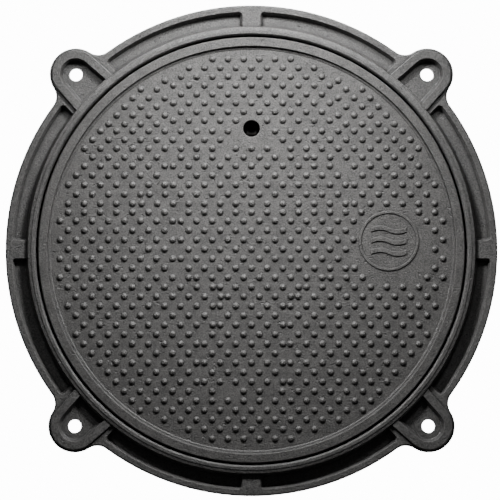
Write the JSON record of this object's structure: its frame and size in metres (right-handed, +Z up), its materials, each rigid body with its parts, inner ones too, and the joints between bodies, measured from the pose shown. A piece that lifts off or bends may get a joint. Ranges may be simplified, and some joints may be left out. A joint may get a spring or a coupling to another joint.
{
  "type": "manhole cover and frame",
  "caption": "Round studded manhole cover in a four-eared cast frame, with a rubber seat ring and a key-turned latch underneath.",
  "frame": {"origin": "centre of the frame's underside, where its foot ring stands", "axes": "+Z up through the cover, +Y from the middle towards the key hole"},
  "size_m": [0.7499, 0.7498, 0.08],
  "materials": {
    "cast_iron_frame": "sand-cast, dark bitumen coat, matt",
    "cast_iron_cover": "sand-cast, dark bitumen coat, matt",
    "gasket_rubber": "matt black",
    "lock_casting": "bead-blasted",
    "fastener_steel": "plain turned",
    "bronze": "turned",
    "blackened_steel": "blackened and greased",
    "arm_steel": "hot-dip zinc"
  },
  "bodies": {
    "frame": {"frame": "cast_iron_frame"},
    "seat_ring": {"seat_gasket": "gasket_rubber"},
    "cover": {"cover": "cast_iron_cover", "lock_housing": "lock_casting", "housing_screws": "fastener_steel", "housing_washers": "fastener_steel", "thrust_washer": "bronze"},
    "latch": {"lock_spindle": "blackened_steel", "spindle_seal": "gasket_rubber", "latch_arm": "arm_steel", "disc_spring": "fastener_steel", "spindle_washer": "fastener_steel", "castle_nut": "fastener_steel", "split_pin": "fastener_steel"}
  },
  "joints": [
    {"name": "cover_turn", "type": "hinge", "parent": "frame", "child": "seat_ring", "pos_m": [0, 0, 0.044], "axis": [0, 0, 1], "continuous": true},
    {"name": "cover_lift", "type": "slide", "parent": "seat_ring", "child": "cover", "axis": [0, 0, 1], "range_m": [0, 0.15]},
    {"name": "latch_turn", "type": "hinge", "parent": "cover", "child": "latch", "pos_m": [0, 0.185, 0.0265], "axis": [0, 0, -1], "range_deg": [0, 90]}
  ]
}
